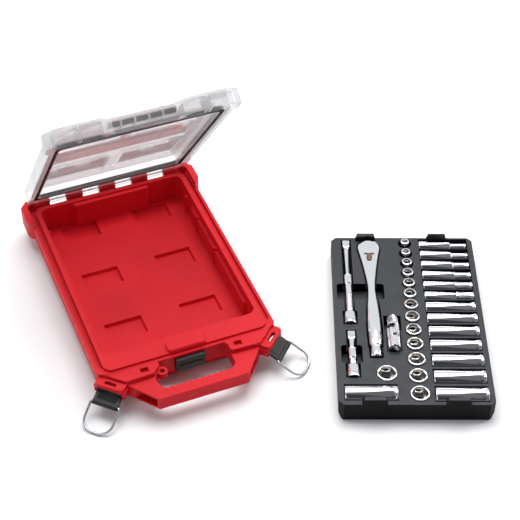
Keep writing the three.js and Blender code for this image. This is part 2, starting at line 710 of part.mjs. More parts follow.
function socketFork() {
  const arms = forkArms([
    [-6.6, 0], [-6.6, 5.5], [-4, UJOINT_RADIUS], [26.3, UJOINT_RADIUS], [27, 7.4], [27, 0],
  ]);
  return cut(arms, barY(4, DRIVE, 16, 30, Math.PI / 4));
}

function ujointCross() {
  return cut(
    join(block(-4.9, 4.9, -4.9, 4.9, -5.1, 5.1), rodX(PIN_RADIUS, -7.4, 7.4, 0, 0, 8).rotateY(Math.PI / 2)),
    rodX(PIN_BORE, -8, 8, 0, 0, 8),
  );
}

function ujointGroup() {
  const group = new THREE.Group();
  const socketEnd = named('ujoint_socket_fork', socketFork(), CHROME);
  socketEnd.rotation.set(0, Math.PI / 2, Math.PI);
  group.add(
    socketEnd,
    named('ujoint_drive_fork', driveFork(), CHROME),
    named('ujoint_cross', ujointCross(), STEEL),
    named('ujoint_pin', rodX(PIN_RADIUS, -7.4, 7.4, 0, 0, 8), STEEL),
    driveBall('ujoint_ball', 0, 22, DRIVE / 2 - 0.7),
  );
  group.rotation.y = radians(45);
  group.position.set(UJOINT_X, UJOINT_Y, UJOINT_Z);
  return group;
}

function extensionGroup(word, length, y) {
  const group = new THREE.Group();
  group.add(
    named(`extension_${word}`, extension(length), CHROME),
    driveBall(`extension_${word}_ball`, 0, length - 5, DRIVE / 2 - 0.7),
  );
  group.position.set(EXTENSION_X, y, EXTENSION_Z);
  return group;
}

function socketMeshes() {
  const meshes = [];
  for (const size of sizes()) {
    const shallow = named(`shallow_socket_${label(size)}`, shallowSocket(size), CHROME);
    const [shallowX, shallowY] = shallowPlace(size);
    shallow.rotation.x = Math.PI / 2;
    shallow.position.set(shallowX, shallowY, shallowTop(size) - SHALLOW_LENGTH);
    const deep = named(`deep_socket_${label(size)}`, deepSocket(size), CHROME);
    const [deepX, deepY] = deepPlace(size);
    deep.rotation.z = -Math.PI / 2;
    deep.position.set(deepX, deepY, DEEP_AXIS_Z);
    meshes.push(shallow, deep);
  }
  return meshes;
}

// Every pocket as a solid, widened by grow and reaching up to top.
function pockets(grow, top) {
  const shapes = [];
  const room = 0.6 + grow;
  for (const size of sizes()) {
    const radius = Math.max(DRIVE_END_DIAMETER, outerDiameter(size)) / 2 + room;
    const [shallowX, shallowY] = shallowPlace(size);
    const floor = shallowTop(size) - SHALLOW_LENGTH - GAP - grow;
    shapes.push(disc(radius, shallowX, shallowY, Math.max(floor, 0), top, 18));
    const [deepX, deepY] = deepPlace(size);
    shapes.push(block(
      deepX - room, deepX + DEEP_LENGTH + room, deepY - radius, deepY + radius, DEEP_AXIS_Z - radius + 0.3, top,
    ));
  }
  const extensionFloor = EXTENSION_Z - 8.1 - GAP - grow;
  for (const [y, length] of [[LONG_EXTENSION_Y, LONG_EXTENSION], [SHORT_EXTENSION_Y, SHORT_EXTENSION]]) {
    const x = EXTENSION_X;
    shapes.push(
      block(x - 6.6 - grow, x + 6.6 + grow, y + 20, y + length + 2.5 + grow, extensionFloor, top),
      block(x - 8.6 - room, x + 8.6 + room, y - 1 - grow, y + 22.5 + grow, extensionFloor, top),
    );
  }
  const handle = polygon(mirrored([
    [6.8 + grow, -66], [7 + grow, -80], [9.2 + grow, -108], [10.8 + grow, -147], [9.8 + grow, -177],
    [8.8 + grow, -181], [8.8 + grow, -197 - grow],
  ]));
  const wells = [
    plate(roundedRect(4.3 - grow, 65 + grow, 176.8 - grow, 205.4 + grow, 4), 13 - grow, top),
    plate(roundedRect(5.7 - grow, 32 + grow, 66.8 - grow, 97 + grow, 4), 12 - grow, top),
    block(62.4 - grow, 81.2 + grow, 85.4 - grow, 123, UJOINT_Z - UJOINT_RADIUS - GAP - grow, top),
    block(62.4 - grow, 81.2 + grow, 109 - grow, 123, UJOINT_Z - UJOINT_RADIUS - 1.4 - grow, top),
    block(60.9 - grow, 82.7 + grow, 122 - grow, 147.6 + grow, 12 - grow, top),
  ];
  const ratchet = [
    plate(ratchetOutline(1.5 + grow), RATCHET_Z - 7.6 - grow, top, 5),
    disc(9 + grow, 0, 0, RATCHET_Z - 17.4 - grow, top - 1),
    plate(handle, RATCHET_Z - 9.8 - grow, top),
  ].map((shape) => shape.translate(RATCHET_X, RATCHET_HEAD_Y, 0));
  return [...shapes, ...wells, ...ratchet];
}

function chamferedRect(inset) {
  const corner = TRAY_CORNER - inset * 0.4;
  const x1 = TRAY_WIDTH - inset;
  const y1 = TRAY_DEPTH - inset;
  return polygon([
    [inset + corner, inset], [x1 - corner, inset], [x1, inset + corner], [x1, y1 - corner],
    [x1 - corner, y1], [inset + corner, y1], [inset, y1 - corner], [inset, inset + corner],
  ]);
}

// A bar along Y from a section drawn in X and Z.
function barAlong(points, y0, y1) {
  return plate(polygon(points), 0, y1 - y0).rotateX(Math.PI / 2).translate(0, y1, 0);
}

function socketTray() {
  const wall = 1.6;
  const body = cut(
    plate(chamferedRect(0), 0, TRAY_TOP),
    plate(chamferedRect(TRAY_SKIN), -1, TRAY_TOP - TRAY_SKIN),
    ...[0, TRAY_WIDTH].map((x) => barAlong([[x - 5, -2], [x + 5, -2], [x, 7]], -1, TRAY_DEPTH + 1)),
  );
  const tab = (x, foot, top, y0, y1) => barAlong([
    [x - foot, TRAY_TOP - 2], [x + foot, TRAY_TOP - 2], [x + top, TRAY_TOP + 8], [x - top, TRAY_TOP + 8],
  ], y0, y1);
  const tabs = [
    ...[43, 142.8].map((x) => tab(x, 16, 12.5, 0, 5.6)),
    ...[45.5, 140].map((x) => tab(x, 14, 11, TRAY_DEPTH - 6.2, TRAY_DEPTH)),
  ];
  const cups = cut(join(...pockets(wall, TRAY_TOP - 0.5)), block(-9, TRAY_WIDTH + 9, -9, TRAY_DEPTH + 9, -9, 0));
  return cut(join(body, cups, ...tabs), ...pockets(0, TRAY_TOP + 20));
}

function trayGroup() {
  const group = new THREE.Group();
  group.add(
    named('socket_tray', socketTray(), TRAY_GREY),
    ratchetGroup(),
    extensionGroup('long', LONG_EXTENSION, LONG_EXTENSION_Y),
    extensionGroup('short', SHORT_EXTENSION, SHORT_EXTENSION_Y),
    ujointGroup(),
    ...socketMeshes(),
  );
  group.rotation.z = radians(TRAY_TURN);
  group.position.set(TRAY_X, TRAY_Y, 0);
  return group;
}

// ---- the whole set, stood with the middle of its footprint at the origin ----
const hingePin = named('hinge_pin', rodX(HINGE_PIN_RADIUS, -104, 104, HINGE_Y, HINGE_Z, 10), STEEL);
const set = new THREE.Group();
set.add(
  named('case_base', caseBase(), RED),
  lidGroup(),
  hingePin,
  ...SIDES.map(([word, side]) => latch(word, side)),
  named('stack_lock_slide', lockSlide(), BLACK),
  named('stack_lock_spring', lockSpring(), STEEL),
  trayGroup(),
);
set.updateMatrixWorld(true);
const extent = new THREE.Box3().setFromObject(set, true);
set.position.set(-(extent.min.x + extent.max.x) / 2, -(extent.min.y + extent.max.y) / 2, -extent.min.z);

export default set;
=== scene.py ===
"""Looks of a socket wrench set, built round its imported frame: a red carrying case with a clear lid and two draw
latches, and a grey tray of sockets and tools beside it. Pieces are drawn in millimetres in the case's or the
tray's own frame and put in place in metres."""
import math

import bmesh
import bpy
from mathutils import Matrix, Vector


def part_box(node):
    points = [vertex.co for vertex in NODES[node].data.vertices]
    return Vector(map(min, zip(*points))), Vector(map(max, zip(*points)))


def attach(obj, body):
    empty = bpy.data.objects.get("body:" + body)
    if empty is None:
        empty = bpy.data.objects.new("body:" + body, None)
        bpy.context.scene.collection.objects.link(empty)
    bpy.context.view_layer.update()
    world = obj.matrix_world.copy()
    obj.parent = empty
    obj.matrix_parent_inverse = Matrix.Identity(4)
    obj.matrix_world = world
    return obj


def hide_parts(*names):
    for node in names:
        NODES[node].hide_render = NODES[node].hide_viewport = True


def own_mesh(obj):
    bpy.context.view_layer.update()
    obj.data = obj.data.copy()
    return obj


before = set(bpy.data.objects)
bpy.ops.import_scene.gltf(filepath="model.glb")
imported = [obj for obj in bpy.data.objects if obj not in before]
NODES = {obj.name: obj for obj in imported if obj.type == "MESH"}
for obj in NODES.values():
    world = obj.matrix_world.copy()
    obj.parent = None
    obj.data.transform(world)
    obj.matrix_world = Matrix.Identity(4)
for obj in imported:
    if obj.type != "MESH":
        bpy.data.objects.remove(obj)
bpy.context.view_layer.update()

TAU = 2 * math.pi
radians = math.radians

# ---- frames: the case's origin is on its centreline, on the surface that it stands on ----
MILLIMETRE = 0.001
HANDLE_FRONT = -0.194  # the handle's front from the case's origin, in metres
TRAY_CORNER = (140.1, -273, 0)
TRAY_TURN = -22.18  # degrees, seen from above
TRAY_TOP = 27
case_low, case_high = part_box("case_base")
case_origin = ((case_low[0] + case_high[0]) / 2, case_low[1] - HANDLE_FRONT, 0)
CASE = Matrix.Translation(case_origin) @ Matrix.Scale(MILLIMETRE, 4)
TRAY = CASE @ Matrix.Translation(TRAY_CORNER) @ Matrix.Rotation(radians(TRAY_TURN), 4, "Z")

AROUND = 72  # points round a turned piece

# ---- where the sockets are in the tray ----
SIZES = range(6, 20)
ODD_SIZE = 19  # this size isn't in the two columns
DEEP = 63.5
SHALLOW = 27
DEEP_X = 116
SHALLOW_X = 97.5
ODD_DEEP = (7.5, 19.5)
ODD_SHALLOW = (60, 50)
FIRST_ROW_Y = 281.7
ROW_STEP = 19.1
EVEN_ROWS = 5
ROW_GROWTH = 0.72


def row_y(size):
    """How far up the tray a size's row is. The rows of the larger sizes are further apart."""
    row = size - SIZES[0]
    return FIRST_ROW_Y - ROW_STEP * row - ROW_GROWTH * max(0, row - EVEN_ROWS) ** 2


# ---- materials ----
class Look:
    """A procedural material, with its shader and a few short ways to add nodes."""

    def __init__(self, name, color, roughness, metallic=0.0, **values):
        self.material = bpy.data.materials.new(name)
        self.material.use_nodes = True
        self.nodes = self.material.node_tree.nodes
        self.links = self.material.node_tree.links
        self.shader = self.nodes["Principled BSDF"]
        self.color = color
        self.set("Base Color", (*color, 1))
        self.set("Roughness", roughness)
        self.set("Metallic", metallic)
        for key, value in values.items():
            self.set(key.replace("_", " "), value)
        self.place = self.nodes.new("ShaderNodeTexCoord").outputs["Object"]
        self.normal = None

    def set(self, socket, value):
        self.shader.inputs[socket].default_value = value

    def noise(self, scale, detail=2.0):
        texture = self.nodes.new("ShaderNodeTexNoise")
        texture.inputs["Scale"].default_value = scale
        texture.inputs["Detail"].default_value = detail
        self.links.new(self.place, texture.inputs["Vector"])
        return texture.outputs["Fac"]

    def cells(self, scale):
        texture = self.nodes.new("ShaderNodeTexVoronoi")
        texture.inputs["Scale"].default_value = scale
        self.links.new(self.place, texture.inputs["Vector"])
        return texture.outputs["Distance"]

    def spread(self, value, low, high, start=0.3, end=0.7):
        node = self.nodes.new("ShaderNodeMapRange")
        node.inputs["From Min"].default_value = start
        node.inputs["From Max"].default_value = end
        node.inputs["To Min"].default_value = low
        node.inputs["To Max"].default_value = high
        self.links.new(value, node.inputs["Value"])
        return node.outputs["Result"]

    def vary_roughness(self, value, low, high):
        self.links.new(self.spread(value, low, high), self.shader.inputs["Roughness"])

    def vary_color(self, value, darker, lighter):
        ramp = self.nodes.new("ShaderNodeValToRGB")
        for element, factor, position in zip(ramp.color_ramp.elements, (darker, lighter), (0.3, 0.7)):
            element.position = position
            element.color = (*(min(1, c * factor) for c in self.color), 1)
        self.links.new(value, ramp.inputs["Fac"])
        self.links.new(ramp.outputs["Color"], self.shader.inputs["Base Color"])

    def bump(self, value, distance, strength=1.0):
        node = self.nodes.new("ShaderNodeBump")
        node.inputs["Distance"].default_value = distance
        node.inputs["Strength"].default_value = strength
        self.links.new(value, node.inputs["Height"])
        if self.normal is not None:
            self.links.new(self.normal, node.inputs["Normal"])
        self.normal = node.outputs["Normal"]
        self.links.new(self.normal, self.shader.inputs["Normal"])


def moulded(name, color, roughness, grain=0.00003, size=1800, specular=0.5):
    look = Look(name, color, roughness, Specular_IOR_Level=specular)
    cloud = look.noise(14, 3)
    look.vary_color(cloud, 0.93, 1.05)
    look.vary_roughness(look.noise(60, 4), roughness - 0.05, roughness + 0.07)
    look.bump(look.noise(size, 2), grain)
    look.bump(look.noise(45, 2), 0.00012, 0.5)
    return look.material


def metal(name, color, low, high, wave=0.00002):
    look = Look(name, color, low, 1.0)
    look.vary_color(look.noise(25, 3), 0.97, 1.02)
    look.vary_roughness(look.noise(90, 5), low, high)
    look.bump(look.noise(120, 2), wave, 0.6)
    return look.material


def clear(name, color, edge, roughness, thin, thick, grain=None):
    """Clear moulded plastic: thin where seen face on, denser and greyer towards its edges."""
    look = Look(name, color, roughness, Specular_IOR_Level=0.5)
    facing = look.nodes.new("ShaderNodeLayerWeight")
    facing.inputs["Blend"].default_value = 0.45
    tint = look.nodes.new("ShaderNodeValToRGB")
    for element, shade, position in zip(tint.color_ramp.elements, (color, edge), (0.25, 1.0)):
        element.position = position
        element.color = (*shade, 1)
    look.links.new(facing.outputs["Facing"], tint.inputs["Fac"])
    look.links.new(tint.outputs["Color"], look.shader.inputs["Base Color"])
    density = look.spread(facing.outputs["Facing"], thin, thick, 0.15, 1.0)
    look.links.new(density, look.shader.inputs["Alpha"])
    look.vary_roughness(look.noise(70, 4), roughness, roughness + 0.04)
    if grain:
        look.bump(look.cells(900), grain)
    else:
        look.bump(look.noise(30, 2), 0.0001, 0.4)
    return look.material


RED = moulded("moulded_red", (0.60, 0.008, 0.016), 0.48, specular=0.18)
BLACK = moulded("moulded_black", (0.008, 0.008, 0.009), 0.38, specular=0.35)
TRAY_GREY = moulded("tray_grey", (0.016, 0.018, 0.022), 0.50, 0.00005, 2600, 0.4)
# A darker copy of the tray's grey for its walls: painted shade, not a different plastic.
TRAY_WALL_SHADE = moulded("tray_wall_painted_shade", (0.003, 0.0035, 0.0045), 0.50, 0.00003, 2600, 0.12)
SEAL = moulded("seal_black", (0.006, 0.006, 0.007), 0.62, specular=0.12)
CLEAR = clear("clear_lid", (0.80, 0.81, 0.82), (0.30, 0.31, 0.32), 0.06, 0.10, 0.85)
# The lid's pads: a real fine grain, and a pink tint that is painted red light from the red case below.
CLEAR_GRAIN_RED_LIGHT = clear("clear_lid_grain_red_light", (0.70, 0.58, 0.56), (0.46, 0.36, 0.35), 0.24, 0.40, 0.85, 0.0003)
CHROME = metal("chrome", (0.86, 0.865, 0.88), 0.05, 0.11)
SATIN = metal("satin_chrome", (0.80, 0.80, 0.81), 0.16, 0.26)
ZINC = metal("zinc_steel", (0.50, 0.51, 0.53), 0.24, 0.34)
BROACHED = Look("broached_steel", (0.74, 0.72, 0.70), 0.15, 1.0).material
BRONZE = metal("bronze_oxide", (0.16, 0.115, 0.085), 0.25, 0.42, 0.00006)


# ---- mesh helpers ----
SAME_POINT = 2e-6  # metres
SAME_PLANE = 0.6  # degrees
ROUNDED_EDGE = 28  # degrees across an edge that gets a bevel


def finished(name, bm, looks, body, nodes=(), at=None, bevel=0.0, steps=2, sharp=38):
    """Turns mesh data into a piece that rides on a body. Bevel is in millimetres."""
    bmesh.ops.recalc_face_normals(bm, faces=bm.faces)
    mesh = bpy.data.meshes.new(name)
    bm.to_mesh(mesh)
    bm.free()
    if at is not None:
        mesh.transform(at)
    for look in looks:
        mesh.materials.append(look)
    for polygon in mesh.polygons:
        polygon.use_smooth = True
    mesh.set_sharp_from_angle(angle=radians(sharp))
    obj = bpy.data.objects.new(name, mesh)
    bpy.context.collection.objects.link(obj)
    if bevel:
        rounding = obj.modifiers.new("rounding", "BEVEL")
        rounding.width = bevel * MILLIMETRE
        rounding.segments = steps
        rounding.limit_method = "ANGLE"
        rounding.angle_limit = radians(ROUNDED_EDGE)
        even = obj.modifiers.new("even_normals", "WEIGHTED_NORMAL")
        even.keep_sharp = True
    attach(obj, body)
    if nodes:
        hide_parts(*nodes)
    return obj


def refined(node, looks, body, bevel, steps=2, choose=None):
    """A copy of a node's own mesh with its flat faces merged and its edges rounded."""
    bm = bmesh.new()
    bm.from_mesh(NODES[node].data)
    bmesh.ops.remove_doubles(bm, verts=bm.verts, dist=SAME_POINT)
    bmesh.ops.dissolve_limit(bm, angle_limit=radians(SAME_PLANE), verts=bm.verts, edges=bm.edges)
    large = [face for face in bm.faces if len(face.verts) > 4]
    bmesh.ops.triangulate(bm, faces=large, ngon_method="EAR_CLIP")
    if choose:
        for face in bm.faces:
            face.material_index = choose(face)
    return finished(node + "_shell", bm, looks, body, (node,), None, bevel, steps)


def flats(sides, flat, turn=0.0):
    """Radius to the sides of a regular polygon; the middle of a side is at angle turn."""
    step = TAU / sides
    return lambda angle: flat / math.cos((angle - turn + step / 2) % step - step / 2)


def flatted(radius, sides, flat, turn=0.0):
    side = flats(sides, flat, turn)
    return lambda angle: min(radius, side(angle))


def ring(along, radius, around=AROUND):
    """A ring about the Y axis; radius is a number or a function of the angle from +Z."""
    points = []
    for i in range(around):
        angle = TAU * i / around
        r = radius(angle) if callable(radius) else radius
        points.append((r * math.sin(angle), along, r * math.cos(angle)))
    return points


def skinned(rings, loop=False, marks=None):
    """Faces between rings of equal length. marks gives a material number for some spans."""
    bm = bmesh.new()
    rows = [[bm.verts.new(p) for p in points] for points in rings]
    spans = list(zip(rows, rows[1:]))
    if loop:
        spans.append((rows[-1], rows[0]))
    for number, (a, b) in enumerate(spans):
        for i in range(len(a)):
            j = (i + 1) % len(a)
            face = bm.faces.new((a[i], a[j], b[j], b[i]))
            face.material_index = (marks or {}).get(number, 0)
    if not loop:
        bm.faces.new(rows[0])
        bm.faces.new(rows[-1])
    return bm


BAIL_PIVOT_END = 9
BEND_STEPS = 12


def bail_route():
    """The bail's wire in its own plane, from one pivot end round to the other."""
    half, far, bend, small = 19, 36, 15, 3
    turns = [(small - half, small, small, 270), (bend - half, far - bend, bend, 180),
             (half - bend, far - bend, bend, 90), (half - small, small, small, 0)]
    route = [(-BAIL_PIVOT_END, 0)]
    for x, y, radius, start in turns:
        for i in range(BEND_STEPS + 1):
            angle = radians(start - 90 * i / BEND_STEPS)
            route.append((x + radius * math.cos(angle), y + radius * math.sin(angle)))
    return route + [(BAIL_PIVOT_END, 0)]


def wire(route, radius, around=20):
    """A round wire along a route in the plane z = 0."""
    up = Vector((0, 0, 1))
    rings = []
    for number, (x, y) in enumerate(route):
        before, after = route[max(0, number - 1)], route[min(len(route) - 1, number + 1)]
        along = Vector((after[0] - before[0], after[1] - before[1], 0)).normalized()
        across = along.cross(up)
        points = []
        for i in range(around):
            angle = TAU * i / around
            outward = math.cos(angle) * across + math.sin(angle) * up
            points.append(Vector((x, y, 0)) + radius * outward)
        rings.append(points)
    return skinned(rings)


# ---- the case ----
refined("case_base", [RED], "case", 0.7)

HINGE_Y = 193
HINGE_Z = 45.4
LID_OPEN = 50.5  # degrees from shut
PADS_FROM_Z = 63.5
open_turn = Matrix.Rotation(radians(-LID_OPEN), 4, "X")
LID = CASE @ Matrix.Translation((0, HINGE_Y, HINGE_Z)) @ open_turn @ Matrix.Translation((0, -HINGE_Y, -HINGE_Z))
TO_LID = LID.inverted()


def lid_finish(face):
    """The raised pads on top of the lid are grained and tinted pink, the pink being painted red light from the
    case below; the rest is polished.
    """
    return 1 if (TO_LID @ face.calc_center_median()).z > PADS_FROM_Z else 0


refined("case_lid", [CLEAR, CLEAR_GRAIN_RED_LIGHT], "lid", 0.6, choose=lid_finish)
refined("lid_gasket", [SEAL], "lid", 0.8)

# Dark blocks in the middle cells of the lid's front rim: a painted image of the dark gasket seen through the
# clear rim, not parts of the lid.
CELL_STEP = 17
BLOCK_Y = -134.6
BLOCK_Z = 55.4
BLOCK_SIZE = (13.4, 7.6, 5.2, 1)
gasket_image = bmesh.new()
for cell in range(-2, 3):
    spot = Matrix.Translation((CELL_STEP * cell, BLOCK_Y, BLOCK_Z)) @ Matrix.Diagonal(BLOCK_SIZE)
    bmesh.ops.create_cube(gasket_image, size=1, matrix=spot)
finished("lid_front_gasket_image", gasket_image, [SEAL], "lid", (), LID, 0.8)
refined("hinge_pin", [ZINC], "case", 0.2)

# The latches, each on its ear at the corner of the front.
LATCH_X = 104.5
LATCH_Y = -151.5
LATCH_Z = 27
LATCH_TURN = 135  # degrees from straight back
LATCH_DROOP = 28.5  # degrees below level
LEVER_REACH = 17  # from the lever's pin to the bail's pivot
WIRE_RADIUS = 1.58
for word, side in (("left", -1), ("right", 1)):
    refined(f"latch_lever_{word}", [BLACK], f"lever_{word}", 0.5)
    refined(f"latch_pin_{word}", [ZINC], "case", 0.2)
    place = CASE @ Matrix.Translation((side * LATCH_X, LATCH_Y, LATCH_Z))
    place = place @ Matrix.Rotation(radians(-LATCH_TURN * side), 4, "Z")
    place = place @ Matrix.Rotation(radians(-LATCH_DROOP), 4, "X") @ Matrix.Translation((0, LEVER_REACH, 0))
    bail = wire(bail_route(), WIRE_RADIUS)
    finished(f"bail_wire_{word}", bail, [ZINC], f"bail_{word}", (f"latch_bail_{word}",), place)
refined("stack_lock_slide", [BLACK], "stack_lock", 0.5)

# The lock's spring, which shortens as its button is pressed, gets a mesh of its own.
spring = refined("stack_lock_spring", [ZINC], "case", 0)
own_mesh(spring)

# ---- the tray ----
UPRIGHT = 0.4  # a face whose normal rises less than this is a wall


def tray_finish(face):
    """The tray's walls, inside its pockets and out, are painted darker than its top: painted shade, where less
    overhead light falls.
    """
    return 1 if abs(face.normal.z) < UPRIGHT else 0


refined("socket_tray", [TRAY_GREY, TRAY_WALL_SHADE], "tray", 0.6, choose=tray_finish)

# ---- sockets. The square drive's hole is the same in every tool ----
HOLE_FLAT = 4.75  # half across its flats
HOLE_MOUTH = 5.15
HOLE_MOUTH_DEPTH = 0.6
HOLE_END = 10.8
SOCKET_LOOKS = [CHROME, BROACHED]
HEX_CORNER = TAU / 12


def socket_rings(size, length, shallow):
    """Rings of a socket about +Y: up the outside from the drive end, then down the inside."""
    hex_radius = (1.05 * size + 4.9) / 2
    drive_radius = max(8.3, hex_radius)
    slim = drive_radius - hex_radius > 0.01
    step_start, step_end = (length - 13, length - 9) if shallow else (length - 23, length - 20.5)
    rings = []

    def add(along, radius, facet=0.0):
        rings.append(ring(along, flatted(radius, 6, radius - facet, HEX_CORNER) if facet > 0 else radius))

    add(0, drive_radius - 1.3)
    add(0.25, drive_radius - 0.55)
    add(0.9, drive_radius - 0.1)
    add(1.6, drive_radius)
    if slim:
        start = step_start * (0.25 if not shallow else 0.8)
        for i in range(9):
            t = i / 8
            add(start + (step_start - start) * t, drive_radius, 0.06 + 0.75 * t if not shallow else 0)
        add(step_start + 0.4, drive_radius - 0.35, 0.35 if not shallow else 0)
        add(step_start + (step_end - step_start) * 0.6, (drive_radius * 0.3 + hex_radius * 0.7))
        add(step_end, hex_radius)
        if not shallow:
            add(step_end + 1.2, hex_radius)
            add(step_end + 1.6, hex_radius, 0.3)
            add(length - 3.6, hex_radius, 0.45)
    elif shallow:
        add(6, drive_radius)
    else:
        for i in range(13):
            t = i / 12
            add(22 + (length - 5.6 - 22) * t, drive_radius, 0.05 + 0.85 * t)
    add(length - 3.2, hex_radius)
    add(length - 2.9, hex_radius - 0.16)
    add(length - 2.5, hex_radius - 0.16)
    add(length - 2.2, hex_radius)
    add(length - 1.1, hex_radius)
    add(length - 0.4, hex_radius - 0.3)
    add(length, hex_radius - 0.9)
    outside = len(rings)
    half = size / 2
    depth = min(12 if shallow else 14, size)
    bore = min(size - 1.2, 9) / 2
    lip = min(half * 1.08, hex_radius - 1.0)
    rings.append(ring(length - 0.05, flatted(lip + 0.55, 6, lip + 0.3, 0)))
    rings.append(ring(length - 0.7, flats(6, half + 0.12, 0)))
    rings.append(ring(length - 1.1, flats(6, half, 0)))
    rings.append(ring(length - depth, flats(6, half, 0)))
    rings.append(ring(length - depth - 0.2, bore))
    rings.append(ring(HOLE_END, bore))
    rings.append(ring(HOLE_END - 0.3, flats(4, HOLE_FLAT)))
    rings.append(ring(HOLE_MOUTH_DEPTH, flats(4, HOLE_FLAT)))
    rings.append(ring(0, flats(4, HOLE_MOUTH)))
    return rings, outside


def socket(name, size, length, shallow, at, body):
    rings, outside = socket_rings(size, length, shallow)
    marks = {number: 1 for number in range(outside, len(rings) - 2)}
    bm = skinned(rings, True, marks)
    return finished(name, bm, SOCKET_LOOKS, body, (), at)


DEEP_AXIS_Z = TRAY_TOP - 6.5
for size in SIZES:
    label = f"{size:02d}"
    x, y = ODD_DEEP if size == ODD_SIZE else (DEEP_X, row_y(size))
    place = TRAY @ Matrix.Translation((x, y, DEEP_AXIS_Z)) @ Matrix.Rotation(-TAU / 4, 4, "Z")
    deep = socket(f"deep_{label}", size, DEEP, False, place, f"deep_{label}")
    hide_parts(f"deep_socket_{label}")
    x, y = ODD_SHALLOW if size == ODD_SIZE else (SHALLOW_X, row_y(size))
    proud = 5 - 0.25 * (size - SIZES[0])
    place = TRAY @ Matrix.Translation((x, y, TRAY_TOP + proud - SHALLOW))
    place = place @ Matrix.Rotation(TAU / 4, 4, "X")
    shallow = socket(f"shallow_{label}", size, SHALLOW, True, place, f"shallow_{label}")
    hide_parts(f"shallow_socket_{label}")


def turned_ring(along, radius, knurl=0.0, shift=0):
    """A ring about +Y, with every other point pulled in by knurl."""
    if not knurl:
        return ring(along, radius)
    points = ring(along, radius)
    inner = ring(along, radius - knurl)
    return [inner[i] if (i + shift) % 2 else points[i] for i in range(AROUND)]


DRIVE_FLAT = 4.7  # half across the flats of a square drive


def drive_rings(start, end):
    """The square drive at the end of a tool, with its retaining groove and rounded tip."""
    corners = flatted(6.25, 4, DRIVE_FLAT)
    slim = flatted(5.7, 4, DRIVE_FLAT - 0.35)
    rings = [ring(start, flatted(5.4, 4, DRIVE_FLAT)), ring(start + 0.5, corners), ring(start + 3.2, corners)]
    rings += [ring(start + 3.5, slim), ring(start + 4.4, slim), ring(start + 4.7, corners)]
    rings += [ring(end - 0.8, corners), ring(end - 0.25, flatted(5.7, 4, DRIVE_FLAT - 0.3))]
    return rings + [ring(end, flatted(5.0, 4, DRIVE_FLAT - 0.9))]


def extension(length):
    """An extension bar along +Y: female end, rings, waist, knurled band, shaft and square drive."""
    band = length * 0.52
    rings = [turned_ring(y, r) for y, r in (
        (0, 7.2), (0.25, 7.75), (0.9, 8.05), (3.0, 8.1), (3.3, 7.85), (4.2, 7.85), (4.5, 8.1), (17.6, 8.1),
        (18.8, 7.6), (20.4, 5.6), (21.4, 4.7), (22.2, 4.5), (23.2, 4.5), (23.5, 4.6), (band - 9, 4.6),
        (band - 8.4, 5.3), (band - 8, 5.65),
    )]
    count = 15
    for i in range(count):
        rings.append(turned_ring(band - 7.6 + 15.2 * i / (count - 1), 5.7, 0.22, i % 2))
    rings += [turned_ring(y, r) for y, r in (
        (band + 8, 5.65), (band + 8.4, 5.3), (band + 9, 4.85), (length - 14.6, 4.85), (length - 14, 4.5),
        (length - 13.2, 4.5),
    )]
    rings += drive_rings(length - 12.6, length)
    outside = len(rings)
    square = flats(4, HOLE_FLAT)
    rings += [ring(HOLE_END, 1.5), ring(HOLE_END, square), ring(HOLE_MOUTH_DEPTH, square)]
    rings.append(ring(0, flats(4, HOLE_MOUTH)))
    bm = skinned(rings[:outside])
    end_face = min(bm.faces, key=lambda face: face.calc_center_median().y)
    bmesh.ops.delete(bm, geom=[end_face], context="FACES_ONLY")
    join_bore(bm, rings[0], rings[outside:][::-1])
    return bm


def join_bore(bm, mouth, bore):
    """Faces from a mouth ring that is already in bm down a bore that is closed at its far end."""
    bmesh.ops.remove_doubles(bm, verts=bm.verts, dist=1e-6)
    bm.verts.ensure_lookup_table()
    nearest = {}
    for vert in bm.verts:
        nearest[tuple(round(v, 4) for v in vert.co)] = vert
    rows = [[nearest[tuple(round(v, 4) for v in point)] for point in mouth]]
    rows += [[bm.verts.new(point) for point in points] for points in bore]
    for a, b in zip(rows, rows[1:]):
        for i in range(len(a)):
            j = (i + 1) % len(a)
            face = bm.faces.new((a[i], a[j], b[j], b[i]))
            face.material_index = 1
    bm.faces.new(rows[-1]).material_index = 1


EXTENSIONS = {"long": (152.4, 134), "short": (76.2, 44)}  # length and where it starts in the tray
EXTENSION_X = 19.5
EXTENSION_Z = TRAY_TOP - 3
for word, (length, y) in EXTENSIONS.items():
    place = TRAY @ Matrix.Translation((EXTENSION_X, y, EXTENSION_Z))
    body = f"extension_{word}"
    finished(f"extension_bar_{word}", extension(length), SOCKET_LOOKS, body, (body,), place)
    refined(f"extension_{word}_ball", [ZINC], body, 0)

# ---- the ratchet, about its head's centre with the handle along -Y ----
RATCHET = TRAY @ Matrix.Translation((49, 272, TRAY_TOP - 2))
HEAD = 14.7  # radius of the head, seen from above
HALF_HEIGHT = 5.98


def oval(along, width, height, power, lift=0.0):
    """A superellipse section across Y."""
    points = []
    for i in range(AROUND):
        angle = TAU * i / AROUND
        across, up = math.sin(angle), math.cos(angle)
        x = width * math.copysign(abs(across) ** (2 / power), across)
        points.append((x, along, lift + height * math.copysign(abs(up) ** (2 / power), up)))
    return points


